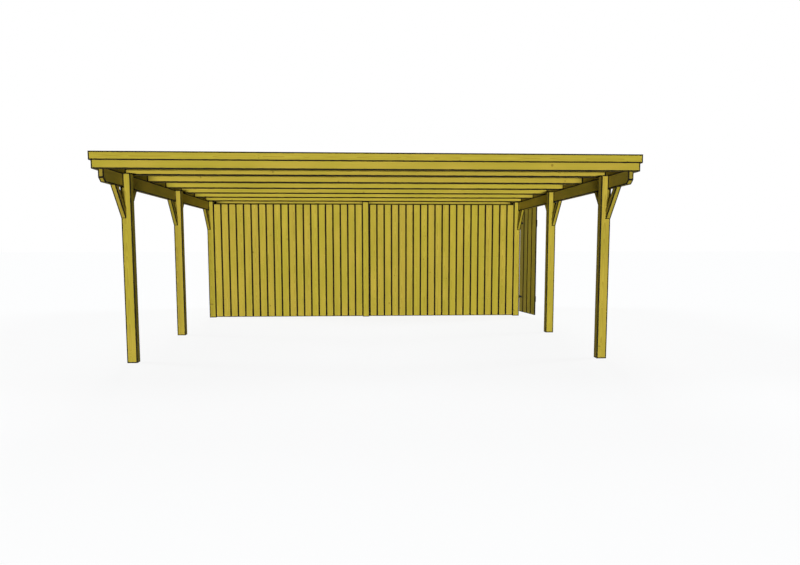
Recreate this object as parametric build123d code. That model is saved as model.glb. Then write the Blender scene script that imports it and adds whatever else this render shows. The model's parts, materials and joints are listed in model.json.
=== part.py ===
from build123d import *
import math
import os

os.makedirs("parts", exist_ok=True)

# Double timber carport with a lean flat roof and a store room behind a boarded wall.
# Millimetres, X across, Y from the open front to the back, Z up, ground at zero.
# The origin is the middle of the foot of the centre post in the boarded wall.

# Posts
post_size = 120
clear_width = 5560
post_pitch = 2565
store_depth = 1935

# Roof outline
side_overhang = 100
front_overhang = 745
front_height = 2400
roof_fall = 0.018

# Fascia, a thick lower board with a thinner upper board standing out in front of it
lower_board_thickness = 50
lower_board_height = 145
upper_board_thickness = 20
upper_board_height = 95
fascia_depth = 185

# Beams along both sides
beam_width = 60
beam_height = 160
beam_notch = 30
beam_end_gap = 15
nose_height = 45
nose_length = 70

# Rafters across
rafter_width = 60
rafter_height = 120
rafter_count = 9

# Roof sheets with trapezoid ribs
sheet_thickness = 0.75
rib_height = 33
rib_pitch = 207
rib_crown = 40
rib_foot = 70
sheet_side_gap = 5
sheet_back_overhang = 40
sheet_front_gap = 10
sheet_top_gap = 2

# Braces from post to beam
brace_width = 60
brace_depth = 80
brace_reach = 365

# Boarded walls
board_thickness = 20
ground_gap = 10
wall_head_gap = 50
centre_recess_width = 20
centre_recess_depth = 10
rail_thickness = 40
rail_height = 60
rail_foot = 300
rail_head_gap = 150

# Store room doorway in the right-hand side
stud_depth = 80
stud_width = 80
hinge_stud_offset = 92
doorway_width = 730

# Door leaf, hung outside the studs and the beam
leaf_width = 760
leaf_bottom = 60
leaf_head_overlap = 60
leaf_clearance = 5
ledge_thickness = 25
ledge_height = 100
ledge_margin = 41
ledge_end_gap = 240
diagonal_width = 90
open_angle = 170.5

# Strap hinges
pin_radius = 5
pin_clearance = 0.4
eye_radius = 8
pin_to_edge = 12
strap_length = 150
strap_height = 35
strap_thickness = 4
plate_thickness = 4
plate_width = 50
plate_height = 90
arm_width = 12
arm_height = 14
eye_gap = 1

# How far a cut runs on past the face that it leaves by
cut_past = 2

# Places worked out from the sizes
half_clear = clear_width / 2
post_outer = half_clear + post_size
roof_half = post_outer + side_overhang
front_row = -2 * post_pitch
middle_row = -post_pitch
wall_row = 0
back_row = store_depth
roof_front = front_row - post_size / 2 - front_overhang
fascia_thickness = lower_board_thickness + upper_board_thickness
roof_back = back_row + post_size / 2 + fascia_thickness
beam_inner = post_outer - beam_notch
beam_outer = beam_inner + beam_width
rafter_top_front = front_height - sheet_top_gap - rib_height - sheet_thickness
rafter_first = roof_front + fascia_thickness
rafter_last = roof_back - fascia_thickness - rafter_width
rafter_pitch = (rafter_last - rafter_first) / (rafter_count - 1)


def fall(y):
    """How far the roof has dropped at y, measured from the front edge of the roof."""
    return roof_fall * (y - roof_front)


def rafter_top(y):
    return rafter_top_front - fall(y)


def rafter_bottom(y):
    return rafter_top(y) - rafter_height


def beam_bottom(y):
    return rafter_bottom(y) - beam_height


def save(name, *solids):
    """Write one node, made of one solid or of several that stand apart."""
    shape = solids[0] if len(solids) == 1 else Compound(children=list(solids))
    export_step(shape, f"parts/{name}.step")


def block(x0, x1, y0, y1, z0, z1):
    """A plain squared timber between two corners."""
    return Pos((x0 + x1) / 2, (y0 + y1) / 2, (z0 + z1) / 2) * Box(abs(x1 - x0), y1 - y0, z1 - z0)


def side_cut(x0, x1, outline):
    """A timber cut to an outline of (y, z) corners and as thick as x0 to x1."""
    face = Plane.YZ * make_face(Polyline(*outline, close=True))
    return Pos(min(x0, x1), 0, 0) * extrude(face, abs(x1 - x0))


def sloped(x0, x1, y0, y1, bottom, top):
    """A timber with plumb ends whose underside and top follow two functions of y."""
    return side_cut(x0, x1, [(y0, bottom(y0)), (y1, bottom(y1)), (y1, top(y1)), (y0, top(y0))])


def level(height):
    return lambda y: height


# Posts, notched on the outside for the side beams
def corner_post(side, row):
    y0 = row - post_size / 2
    y1 = row + post_size / 2
    post = sloped(side * half_clear, side * post_outer, y0, y1, level(0), rafter_bottom)
    notch = sloped(
        side * beam_inner,
        side * (post_outer + cut_past),
        y0 - cut_past,
        y1 + cut_past,
        beam_bottom,
        rafter_top,
    )
    return post - notch


def centre_post(row):
    y0 = row - post_size / 2
    y1 = row + post_size / 2
    return sloped(-post_size / 2, post_size / 2, y0, y1, level(0), rafter_bottom)


rows = {"front": front_row, "middle": middle_row, "wall": wall_row, "back": back_row}
sides = {"left": -1, "right": 1}
for row_name, row in rows.items():
    for side_name, side in sides.items():
        save(f"post_{row_name}_{side_name}", corner_post(side, row))
save("post_wall_centre", centre_post(wall_row))
save("post_back_centre", centre_post(back_row))


# Side beams with a slanted nose at the front end
beam_front = roof_front + fascia_thickness + beam_end_gap
beam_back = roof_back - fascia_thickness
for side_name, side in sides.items():
    beam = side_cut(
        side * beam_inner,
        side * beam_outer,
        [
            (beam_front, rafter_bottom(beam_front)),
            (beam_front, beam_bottom(beam_front) + nose_height),
            (beam_front + nose_length, beam_bottom(beam_front + nose_length)),
            (beam_back, beam_bottom(beam_back)),
            (beam_back, rafter_bottom(beam_back)),
        ],
    )
    save(f"beam_{side_name}", beam)


# Braces at 45 degrees, mitred against the post and the underside of the beam
def brace(side, row, direction):
    post_face = row + direction * post_size / 2
    cut = brace_depth * math.sqrt(2)

    def corner(reach):
        y = post_face + direction * reach
        return (y, beam_bottom(y))

    def foot(reach):
        return (post_face, beam_bottom(post_face) - reach)

    outline = [corner(brace_reach - cut), corner(brace_reach), foot(brace_reach), foot(brace_reach - cut)]
    return side_cut(side * (post_outer - brace_width), side * post_outer, outline)


for side_name, side in sides.items():
    save(f"braces_front_{side_name}", brace(side, front_row, -1), brace(side, front_row, 1))
    save(f"braces_middle_{side_name}", brace(side, middle_row, -1), brace(side, middle_row, 1))
    save(f"brace_wall_{side_name}", brace(side, wall_row, -1))


# Rafters lying across the beams
for number in range(rafter_count):
    y0 = rafter_first + number * rafter_pitch
    y1 = y0 + rafter_width
    save(f"rafter_{number + 1}", sloped(-beam_outer, beam_outer, y0, y1, rafter_bottom, rafter_top))


# Fascia round the roof
def board_top(y):
    return front_height - fall(y)


def upper_bottom(y):
    return board_top(y) - upper_board_height


def lower_bottom(y):
    return board_top(y) - fascia_depth


def lower_top(y):
    return lower_bottom(y) + lower_board_height


lower_out = roof_half - upper_board_thickness
lower_in = lower_out - lower_board_thickness
lower_front = roof_front + upper_board_thickness
lower_back = roof_back - upper_board_thickness
for side_name, side in sides.items():
    upper = sloped(side * lower_out, side * roof_half, lower_front, lower_back, upper_bottom, board_top)
    lower = sloped(
        side * lower_in,
        side * lower_out,
        rafter_first,
        roof_back - fascia_thickness,
        lower_bottom,
        lower_top,
    )
    save(f"fascia_upper_{side_name}", upper)
    save(f"fascia_lower_{side_name}", lower)


def cross_board(half, y0, y1, bottom, top, edge):
    """A fascia board across the roof, level, with its height taken at the outer edge."""
    return block(-half, half, y0, y1, bottom(edge), top(edge))


save(
    "fascia_upper_front",
    cross_board(roof_half, roof_front, lower_front, upper_bottom, board_top, roof_front),
)
save(
    "fascia_lower_front",
    cross_board(lower_out, lower_front, rafter_first, lower_bottom, lower_top, lower_front),
)
save(
    "fascia_upper_back",
    cross_board(roof_half, lower_back, roof_back, upper_bottom, rafter_top, roof_back),
)
save(
    "fascia_lower_back",
    cross_board(
        lower_out, roof_back - fascia_thickness, lower_back, lower_bottom, lower_top, lower_back
    ),
)


# Roof sheets, one trapezoid profile drawn across and run down the fall
def sheet_section():
    """Corners of the sheet's section as (x, height above the rafters)."""
    half = lower_out - sheet_side_gap
    ribs = int((2 * half - rib_foot) // rib_pitch)
    start = -(ribs - 1) * rib_pitch / 2
    top_line = [(-half, sheet_thickness)]
    under_line = [(-half, 0)]
    slant = (rib_foot - rib_crown) / 2 / rib_height * sheet_thickness
    for number in range(ribs):
        x = start + number * rib_pitch
        top_line += [
            (x - rib_foot / 2 - slant, sheet_thickness),
            (x - rib_crown / 2 - slant, rib_height + sheet_thickness),
            (x + rib_crown / 2 + slant, rib_height + sheet_thickness),
            (x + rib_foot / 2 + slant, sheet_thickness),
        ]
        under_line += [
            (x - rib_foot / 2, 0),
            (x - rib_crown / 2, rib_height),
            (x + rib_crown / 2, rib_height),
            (x + rib_foot / 2, 0),
        ]
    top_line.append((half, sheet_thickness))
    under_line.append((half, 0))
    return top_line + under_line[::-1]


sheet_front = rafter_first - lower_board_thickness + sheet_front_gap
sheet_back = roof_back + sheet_back_overhang
sheet_plane = Plane(origin=(0, sheet_front, rafter_top(sheet_front)), x_dir=(-1, 0, 0), z_dir=(0, 1, 0))
section = make_face(Polyline(*sheet_section(), close=True))
run = Vector(0, sheet_back - sheet_front, rafter_top(sheet_back) - rafter_top(sheet_front))
save("roof_sheets", extrude(sheet_plane * section, amount=run.length, dir=run.normalized()))


# Boarded wall between the parking bay and the store, and the back wall
def wall_head(face_y):
    """Level top of a wall of boards, below the rafters at the wall's own face."""
    return rafter_bottom(face_y) - wall_head_gap


def wall_pair(face_y, direction):
    """Boards of the left and right bay, flush with the posts' faces."""
    y0 = min(face_y, face_y + direction * board_thickness)
    y1 = y0 + board_thickness
    top = wall_head(face_y)
    left = block(-half_clear, -post_size / 2, y0, y1, ground_gap, top)
    right = block(post_size / 2, half_clear, y0, y1, ground_gap, top)
    return left, right


def rails_between(x0, x1, y0, y1, head):
    """Three rails, the lowest at a set height, the highest below the head, one halfway."""
    highest = head - rail_head_gap - rail_height
    levels = (rail_foot, (rail_foot + highest) / 2, highest)
    return [block(x0, x1, y0, y1, z, z + rail_height) for z in levels]


wall_face = wall_row - post_size / 2
back_face = back_row + post_size / 2
wall_left, wall_right = wall_pair(wall_face, 1)
recess = block(
    post_size / 2 - cut_past,
    post_size / 2 + centre_recess_width,
    wall_face - cut_past,
    wall_face + centre_recess_depth,
    ground_gap - cut_past,
    wall_head(wall_face) + cut_past,
)
save("bay_wall_left", wall_left)
save("bay_wall_right", wall_right - recess)
save("back_wall", *wall_pair(back_face, -1))
rail_y = wall_face + board_thickness
save(
    "bay_wall_rails",
    *rails_between(-half_clear, -post_size / 2, rail_y, rail_y + rail_thickness, wall_head(wall_face)),
    *rails_between(post_size / 2, half_clear, rail_y, rail_y + rail_thickness, wall_head(wall_face)),
)
rail_y = back_face - board_thickness - rail_thickness
save(
    "back_wall_rails",
    *rails_between(-half_clear, -post_size / 2, rail_y, rail_y + rail_thickness, wall_head(back_face)),
    *rails_between(post_size / 2, half_clear, rail_y, rail_y + rail_thickness, wall_head(back_face)),
)


# Side walls of the store, flush with the posts' outer faces and under the beams
store_front = wall_row + post_size / 2
store_back = back_row - post_size / 2
hinge_stud = store_front + hinge_stud_offset
doorway_start = hinge_stud + stud_width
doorway_end = doorway_start + doorway_width
latch_stud_end = doorway_end + stud_width


def side_boards(side, y0, y1):
    return sloped(
        side * (post_outer - board_thickness), side * post_outer, y0, y1, level(ground_gap), beam_bottom
    )


def side_rails(side, y0, y1):
    outer = post_outer - board_thickness
    return rails_between(side * (outer - rail_thickness), side * outer, y0, y1, beam_bottom(store_back))


save("side_wall_left", side_boards(-1, store_front, store_back))
save("side_rails_left", *side_rails(-1, store_front, store_back))
save("side_wall_right_front", side_boards(1, store_front, hinge_stud))
save("side_rails_right_front", *side_rails(1, store_front, hinge_stud))
save("side_wall_right_back", side_boards(1, latch_stud_end, store_back))
save("side_rails_right_back", *side_rails(1, latch_stud_end, store_back))


def stud(y0):
    return sloped(beam_outer - stud_depth, beam_outer, y0, y0 + stud_width, level(0), beam_bottom)


save("door_studs", stud(hinge_stud), stud(doorway_end))


# Door leaf, drawn shut and then swung open about the pins, which stand in line with its outer face
leaf_inner = beam_outer + leaf_clearance
leaf_outer = leaf_inner + board_thickness
pin_x = leaf_outer
overlap = (leaf_width - doorway_width) / 2
leaf_start = doorway_start - overlap
leaf_end = leaf_start + leaf_width
leaf_top = beam_bottom(doorway_start) + leaf_head_overlap
pin_y = leaf_start - pin_to_edge


def swung(shape):
    return Pos(pin_x, pin_y, 0) * Rot(0, 0, -open_angle) * Pos(-pin_x, -pin_y, 0) * shape


save("door_leaf", swung(block(leaf_inner, leaf_outer, leaf_start, leaf_end, leaf_bottom, leaf_top)))


# Two ledges on the inside of the leaf and the diagonal that stands between them
ledge_back = leaf_inner - ledge_thickness
ledge_start = leaf_start + ledge_margin
ledge_end = leaf_end - ledge_margin
ledge_levels = (leaf_bottom + ledge_end_gap, leaf_top - ledge_end_gap - ledge_height)
low_ledge_top = ledge_levels[0] + ledge_height
high_ledge_bottom = ledge_levels[1]
ledges = [block(ledge_back, leaf_inner, ledge_start, ledge_end, z, z + ledge_height) for z in ledge_levels]
diagonal = side_cut(
    ledge_back,
    leaf_inner,
    [
        (ledge_start, low_ledge_top),
        (ledge_start + diagonal_width, low_ledge_top),
        (ledge_end, high_ledge_bottom),
        (ledge_end - diagonal_width, high_ledge_bottom),
    ],
)
save("door_ledges", *[swung(ledge) for ledge in ledges])
save("door_diagonal", swung(diagonal))


hinge_levels = [z + (ledge_height - strap_height) / 2 for z in ledge_levels]


def strap(z):
    """A strap on the outer face, level with a ledge, with a rolled eye round the pin."""
    plate = block(leaf_outer, leaf_outer + strap_thickness, pin_y, pin_y + strap_length, z, z + strap_height)
    eye = Pos(pin_x, pin_y, z + strap_height / 2) * Cylinder(eye_radius, strap_height)
    bore_length = strap_height + 2 * cut_past
    bore = Pos(pin_x, pin_y, z + strap_height / 2) * Cylinder(pin_radius + pin_clearance, bore_length)
    return plate + eye - bore


save("door_straps", *[swung(strap(z)) for z in hinge_levels])


def pintle(z):
    """A plate on the stud with an arm that carries the upright pin."""
    arm_top = z - eye_gap
    plate_z = arm_top - arm_height / 2 - plate_height / 2
    plate = block(
        beam_outer,
        beam_outer + plate_thickness,
        pin_y - plate_width + arm_width / 2,
        pin_y + arm_width / 2,
        plate_z,
        plate_z + plate_height,
    )
    arm = block(
        beam_outer, pin_x, pin_y - arm_width / 2, pin_y + arm_width / 2, arm_top - arm_height, arm_top
    )
    seat = Pos(pin_x, pin_y, arm_top - arm_height / 2) * Cylinder(arm_width / 2, arm_height)
    length = arm_height + eye_gap + strap_height
    pin = Pos(pin_x, pin_y, arm_top - arm_height + length / 2) * Cylinder(pin_radius, length)
    return plate + arm + seat + pin


save("door_pintles", *[pintle(z) for z in hinge_levels])

print(f"roof {2 * roof_half:.0f} wide, {roof_back - roof_front:.0f} long, rafters every {rafter_pitch:.1f}")
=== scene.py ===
# %% [markdown]
# # A timber double carport with a store room
#
# The real thing is a joiner's frame put up on site: squared posts, two side beams let into notches
# in the posts, rafters across the beams, a stepped fascia round a ribbed steel roof, and a boarded
# store room at the back with a door in its right-hand side.
#
# The solid model already holds every timber at its true size and place, so nothing is measured twice
# here. The script reads places from the solids, works in metres, and only adds what a saw, a plane
# and a pressure tank leave behind: eased edges, single boards, grain, knots and screws.

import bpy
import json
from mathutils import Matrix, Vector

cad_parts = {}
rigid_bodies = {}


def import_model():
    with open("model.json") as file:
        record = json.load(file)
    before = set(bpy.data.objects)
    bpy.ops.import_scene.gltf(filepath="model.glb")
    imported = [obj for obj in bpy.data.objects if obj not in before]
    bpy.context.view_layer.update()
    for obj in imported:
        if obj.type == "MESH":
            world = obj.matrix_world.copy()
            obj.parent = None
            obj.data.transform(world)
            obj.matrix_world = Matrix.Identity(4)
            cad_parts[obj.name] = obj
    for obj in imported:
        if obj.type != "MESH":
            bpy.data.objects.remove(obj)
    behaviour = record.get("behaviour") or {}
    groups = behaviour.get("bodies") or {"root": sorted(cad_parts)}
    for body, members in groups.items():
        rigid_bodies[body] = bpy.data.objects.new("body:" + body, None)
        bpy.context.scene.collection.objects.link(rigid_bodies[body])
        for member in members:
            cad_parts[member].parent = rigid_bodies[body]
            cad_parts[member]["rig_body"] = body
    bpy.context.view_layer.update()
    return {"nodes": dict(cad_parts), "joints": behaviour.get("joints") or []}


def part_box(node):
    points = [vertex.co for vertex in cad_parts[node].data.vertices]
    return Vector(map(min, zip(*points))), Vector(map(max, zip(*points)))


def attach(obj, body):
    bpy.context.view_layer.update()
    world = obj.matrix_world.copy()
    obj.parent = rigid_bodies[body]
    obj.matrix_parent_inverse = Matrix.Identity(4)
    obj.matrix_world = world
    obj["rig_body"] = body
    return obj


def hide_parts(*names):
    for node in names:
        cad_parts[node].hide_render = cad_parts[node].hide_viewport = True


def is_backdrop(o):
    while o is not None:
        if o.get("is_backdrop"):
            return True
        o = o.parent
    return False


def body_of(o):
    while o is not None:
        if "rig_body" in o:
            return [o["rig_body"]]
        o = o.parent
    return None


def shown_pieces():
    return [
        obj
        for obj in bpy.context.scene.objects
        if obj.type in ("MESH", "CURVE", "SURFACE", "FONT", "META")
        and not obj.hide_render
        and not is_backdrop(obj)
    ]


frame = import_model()

# %% Modules, and lengths said in millimetres
import json
import math
import random

import bmesh
import bpy
from mathutils import Matrix, Vector

mm = 0.001
nodes = frame["nodes"]
scene = bpy.context.scene

# %% [markdown]
# ## The viewpoint
#
# The view is from eye height, in front of the open side and almost on its middle line. The picture
# was framed with its horizon above the middle, which a camera can do in two ways: tilt down, or keep
# its tilt and shift the film. Both are present here, so the upright posts converge only a little.
# The numbers come from fitting a camera to the posts, beams and rafters of known size. The eye's
# place is in metres and its angles in radians.

# %% Place the camera
image_width = 800
image_height = 565
film_width = 36.0
focal_pixels = 762.0
axis_pixel = Vector((404.6, 321.9))
eye = Vector((-0.165, -14.328, 1.501))
turned_right = 0.0622
tilted_down = 0.112

camera_data = bpy.data.cameras.new("viewpoint")
camera_data.sensor_width = film_width
camera_data.lens = focal_pixels * film_width / image_width
camera_data.shift_x = (image_width / 2 - axis_pixel.x) / image_width
camera_data.shift_y = (axis_pixel.y - image_height / 2) / image_width
camera = bpy.data.objects.new("viewpoint", camera_data)
camera.location = eye
camera.rotation_euler = (math.pi / 2 - tilted_down, 0, -turned_right)
scene.collection.objects.link(camera)
scene.camera = camera
print(f"lens {camera_data.lens:.2f} mm, shift {camera_data.shift_x:.4f} {camera_data.shift_y:.4f}")

# %% [markdown]
# ## Writing shader groups in words
#
# A node group is wired by hand in the editor or by code. In code it soon turns into a list of links,
# so a few small helpers stand for the whole editor: one opens a group with named sockets, one feeds
# a socket with a number or with another node's output, and the rest each stand for one kind of node
# and give back its result.

# %% Helpers for wiring nodes
def open_group(name, inputs, outputs):
    """A new shader group, with its input node and its output node."""
    tree = bpy.data.node_groups.new(name, "ShaderNodeTree")
    for label, kind, value in inputs:
        socket = tree.interface.new_socket(name=label, in_out="INPUT", socket_type=f"NodeSocket{kind}")
        if value is not None:
            socket.default_value = value
    for label, kind in outputs:
        tree.interface.new_socket(name=label, in_out="OUTPUT", socket_type=f"NodeSocket{kind}")
    return tree, tree.nodes.new("NodeGroupInput").outputs, tree.nodes.new("NodeGroupOutput").inputs


def feed(tree, term, socket):
    """Gives a socket its value: another node's output is linked, anything else is typed in."""
    if isinstance(term, bpy.types.NodeSocket):
        tree.links.new(term, socket)
    else:
        socket.default_value = term


def reckon(tree, operation, *terms, clamp=False):
    """The result of a Math node."""
    made = tree.nodes.new("ShaderNodeMath")
    made.operation = operation
    made.use_clamp = clamp
    for term, socket in zip(terms, made.inputs):
        feed(tree, term, socket)
    return made.outputs[0]


def reckon_vector(tree, operation, *terms):
    """The result of a Vector Math node, which for a length is a number."""
    made = tree.nodes.new("ShaderNodeVectorMath")
    made.operation = operation
    for term, socket in zip(terms, made.inputs):
        feed(tree, term, socket)
    return made.outputs["Value" if operation == "LENGTH" else "Vector"]


def stretch(tree, vector, factors):
    """A vector with each of its three parts multiplied by its own factor."""
    return reckon_vector(tree, "MULTIPLY", vector, factors)


# %% Helpers for materials and relief
def open_finish(name):
    """A new material, its node tree and its shader."""
    finish = bpy.data.materials.new(name)
    finish.use_nodes = True
    return finish, finish.node_tree, finish.node_tree.nodes["Principled BSDF"]


def add_relief(tree, shader, height, depth, strength=1.0):
    """Turns a height that changes over the surface into bumps."""
    bump = tree.nodes.new("ShaderNodeBump")
    bump.inputs["Strength"].default_value = strength
    bump.inputs["Distance"].default_value = depth
    tree.links.new(height, bump.inputs["Height"])
    tree.links.new(bump.outputs["Normal"], shader.inputs["Normal"])


# %% Helpers for masks, noise and colours
def step_between(tree, value, start, end):
    """Rises smoothly from 0 at start to 1 at end, which may lie either way round."""
    made = tree.nodes.new("ShaderNodeMapRange")
    made.interpolation_type = "SMOOTHSTEP"
    feed(tree, value, made.inputs["Value"])
    feed(tree, start, made.inputs["From Min"])
    feed(tree, end, made.inputs["From Max"])
    return made.outputs["Result"]


def noise(tree, vector, factors, detail):
    """Smooth noise from 0 to 1 on a stretched vector."""
    made = tree.nodes.new("ShaderNodeTexNoise")
    tree.links.new(stretch(tree, vector, factors), made.inputs["Vector"])
    made.inputs["Scale"].default_value = 1.0
    made.inputs["Detail"].default_value = detail
    return made.outputs["Fac"]


def blend_colour(tree, share, first, second, mode="MIX"):
    """The colour of a Mix node."""
    made = tree.nodes.new("ShaderNodeMix")
    made.data_type = "RGBA"
    made.blend_type = mode
    feed(tree, share, made.inputs["Factor"])
    feed(tree, first, made.inputs["A"])
    feed(tree, second, made.inputs["B"])
    return made.outputs["Result"]


# %% [markdown]
# ## Stage and light
#
# Every face that looks towards the viewpoint is evenly bright in the reference, right to the back of
# the roof, and every face that looks sideways under the roof is dark. One sun can't do that, because
# the rafters shade each other and the front posts shade the ones behind. A long low softbox in front
# of the carport can: its light comes from where the eye is. A lamp fades with distance, so its
# falloff is set to constant, and the back wall gets as much as the fascia.
#
# Three wide suns from the left, the right and behind are high enough for the roof to keep them out.
# They light the roof and the outer sides, and lay soft shadows on the floor.
#
# The room is white to the eye, and to metal that mirrors it, but gives the timber almost no light.
# Otherwise it would fill the shade under the roof.

# %% Colours written as a painter reads them
def srgb(red, green, blue):
    """A colour given as 0 to 255 on screen, as the linear values a shader wants."""
    def straighten(value):
        share = value / 255
        return share / 12.92 if share <= 0.04045 else ((share + 0.055) / 1.055) ** 2.4

    return (straighten(red), straighten(green), straighten(blue), 1.0)


white = (1.0, 1.0, 1.0, 1.0)
print("mid yellow-green reads", [round(c, 3) for c in srgb(183, 165, 55)[:3]])

# %% A low softbox in front, with no falloff
softbox_place = Vector((-0.45, -30.0, 0.45))
softbox_size = (4.5, 0.5)
softbox_strength = 9.15

softbox_data = bpy.data.lights.new("softbox", "AREA")
softbox_data.shape = "RECTANGLE"
softbox_data.size, softbox_data.size_y = softbox_size
softbox_data.energy = 1.0
softbox_data.use_nodes = True
lamp_tree = softbox_data.node_tree
falloff = lamp_tree.nodes.new("ShaderNodeLightFalloff")
falloff.inputs["Strength"].default_value = softbox_strength
lamp_tree.links.new(falloff.outputs["Constant"], lamp_tree.nodes["Emission"].inputs["Strength"])
softbox = bpy.data.objects.new("softbox", softbox_data)
softbox.location = softbox_place
softbox.rotation_euler = (math.pi / 2, 0, 0)
softbox.visible_camera = False
scene.collection.objects.link(softbox)
print("softbox", softbox_size, "m, strength", softbox_strength, "at any distance")

# %% Three wide suns over the sides and the back
sun_height = math.radians(30)
sun_spread = math.radians(20)
sun_strength = 2.1
sun_headings = {"left": 106, "right": -106, "back": 180}

for sun_name, heading in sun_headings.items():
    sun_data = bpy.data.lights.new(f"sun_{sun_name}", "SUN")
    sun_data.energy = sun_strength
    sun_data.angle = sun_spread
    sun = bpy.data.objects.new(f"sun_{sun_name}", sun_data)
    sun.rotation_euler = (math.pi / 2 - sun_height, 0, math.radians(-heading))
    scene.collection.objects.link(sun)

# %% Tell what is looked at from what is only lit
def looked_at(tree):
    """1 where the eye, a mirror or a pane looks, and 0 where light only bounces."""
    rays = tree.nodes.new("ShaderNodeLightPath").outputs
    mirror_or_pane = reckon(tree, "MAXIMUM", rays["Is Glossy Ray"], rays["Is Transmission Ray"])
    return reckon(tree, "MAXIMUM", rays["Is Camera Ray"], mirror_or_pane)


# %% A white room for the eye, a dim one for the timber
room_light = 0.02

world = bpy.data.worlds.new("room")
world.use_nodes = True
scene.world = world
room = world.node_tree
room.nodes.clear()
seen = room.nodes.new("ShaderNodeBackground")
seen.inputs["Color"].default_value = white
felt = room.nodes.new("ShaderNodeBackground")
felt.inputs["Color"].default_value = white
felt.inputs["Strength"].default_value = room_light
either = room.nodes.new("ShaderNodeMixShader")
room.links.new(looked_at(room), either.inputs["Fac"])
room.links.new(felt.outputs[0], either.inputs[1])
room.links.new(seen.outputs[0], either.inputs[2])
surface = room.nodes.new("ShaderNodeOutputWorld")
room.links.new(either.outputs[0], surface.inputs["Surface"])
print("the room gives the timber", room_light, "of what the eye sees of it")

# %% A pale floor that keeps the shadow
floor_half = 60.0
floor_glow = 0.9
floor_grey = (0.08, 0.084, 0.088, 1.0)
floor_drop = 0.5 * mm

floor_mesh = bpy.data.meshes.new("floor")
corners = [(-1, -1), (1, -1), (1, 1), (-1, 1)]
floor_points = [(floor_half * x, floor_half * y, -floor_drop) for x, y in corners]
floor_mesh.from_pydata(floor_points, [], [(0, 1, 2, 3)])
floor = bpy.data.objects.new("floor", floor_mesh)
scene.collection.objects.link(floor)
floor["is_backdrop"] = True

floor_paint = bpy.data.materials.new("floor_paint")
floor_paint.use_nodes = True
paint = floor_paint.node_tree
paint.nodes.clear()
matt = paint.nodes.new("ShaderNodeBsdfDiffuse")
matt.inputs["Color"].default_value = floor_grey
glow = paint.nodes.new("ShaderNodeEmission")
feed(paint, reckon(paint, "MULTIPLY", looked_at(paint), floor_glow), glow.inputs["Strength"])
both = paint.nodes.new("ShaderNodeAddShader")
paint_out = paint.nodes.new("ShaderNodeOutputMaterial")
paint.links.new(matt.outputs[0], both.inputs[0])
paint.links.new(glow.outputs[0], both.inputs[1])
paint.links.new(both.outputs[0], paint_out.inputs["Surface"])
floor_mesh.materials.append(floor_paint)

scene.view_settings.view_transform = "Standard"
print("floor", 2 * floor_half, "m square, view transform", scene.view_settings.view_transform)

# %% [markdown]
# ## What softwood looks like inside
#
# A board is a slice through a tree, so its figure is solid: rings round the pith, and knots where
# branches ran out. A flat picture of grain would show the same face on all four sides and nothing on
# the ends. Here each timber carries a point of its own wood, in metres: along the trunk, and two
# distances from the pith. Rings are then the fraction of distance over ring width, and the ends of
# the timbers show arcs without any more work.
#
# Knots are the cells of a stretched Voronoi texture. Its Position output gives the centre of the
# nearest cell, so the true distance to it can be measured after the stretch is taken out again, and
# the knots come out round. Near a knot the rings are pushed outwards, as the fibres of a real one are.

# %% Open the figure group, and find the nearest knot
figure, wood_in, wood_out = open_group(
    "softwood_figure",
    [("Grain", "Vector", None), ("Ring Width", "Float", 4 * mm), ("Knot Spacing", "Float", 0.5)],
    [(label, "Float") for label in ("Latewood", "Knot", "Knot Rim", "Streak", "Fibre")],
)
knot_lane = 0.11
through_branch = (1.0, 1.0, 0.5)

cells_per_metre = reckon(figure, "DIVIDE", 1.0, wood_in["Knot Spacing"])
cell_scale = figure.nodes.new("ShaderNodeCombineXYZ")
feed(figure, cells_per_metre, cell_scale.inputs["X"])
feed(figure, 1 / knot_lane, cell_scale.inputs["Y"])
feed(figure, 1 / knot_lane, cell_scale.inputs["Z"])
cell_point = stretch(figure, wood_in["Grain"], cell_scale.outputs[0])
cells = figure.nodes.new("ShaderNodeTexVoronoi")
cells.inputs["Scale"].default_value = 1.0
figure.links.new(cell_point, cells.inputs["Vector"])

offset = reckon_vector(figure, "SUBTRACT", cells.outputs["Position"], cell_point)
true_offset = reckon_vector(figure, "DIVIDE", offset, cell_scale.outputs[0])
knot_distance = reckon_vector(figure, "LENGTH", stretch(figure, true_offset, through_branch))
print("a knot lane every", knot_lane, "m across the tree")

# %% Draw the knots
knot_largest = 15 * mm
knot_rarity = 0.4
knot_blur = 3 * mm

luck = figure.nodes.new("ShaderNodeSeparateColor")
figure.links.new(cells.outputs["Color"], luck.inputs[0])
luck_left = reckon(figure, "SUBTRACT", luck.outputs[0], knot_rarity)
knot_radius = reckon(figure, "MULTIPLY", luck_left, knot_largest / (1 - knot_rarity))
knot_core = reckon(figure, "SUBTRACT", knot_radius, knot_blur)
knot = step_between(figure, knot_distance, knot_radius, knot_core)
rim_outer = reckon(figure, "ADD", knot_radius, knot_blur)
with_rim = step_between(figure, knot_distance, rim_outer, knot_radius)
rim = reckon(figure, "SUBTRACT", with_rim, knot, clamp=True)
feed(figure, knot, wood_out["Knot"])
feed(figure, rim, wood_out["Knot Rim"])
print("knots up to", round(2 * knot_largest / mm), "mm wide")

# %% Push the rings round the knots, and add streaks and fibres
knot_reach = 28 * mm
knot_push = 11 * mm
ring_wander = 30 * mm
wander_scale = (1.3, 3.0, 3.0)
late_sharpness = 2.5
streak_scale = (0.8, 18.0, 18.0)
fibre_scale = (9.0, 600.0, 600.0)

nearness = reckon(figure, "DIVIDE", knot_distance, knot_reach)
nearness_square = reckon(figure, "POWER", nearness, 2.0)
bell = reckon(figure, "EXPONENT", reckon(figure, "MULTIPLY", nearness_square, -1.0))
present = reckon(figure, "GREATER_THAN", knot_radius, 0.0)
push = reckon(figure, "MULTIPLY", reckon(figure, "MULTIPLY", bell, present), knot_push)

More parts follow.
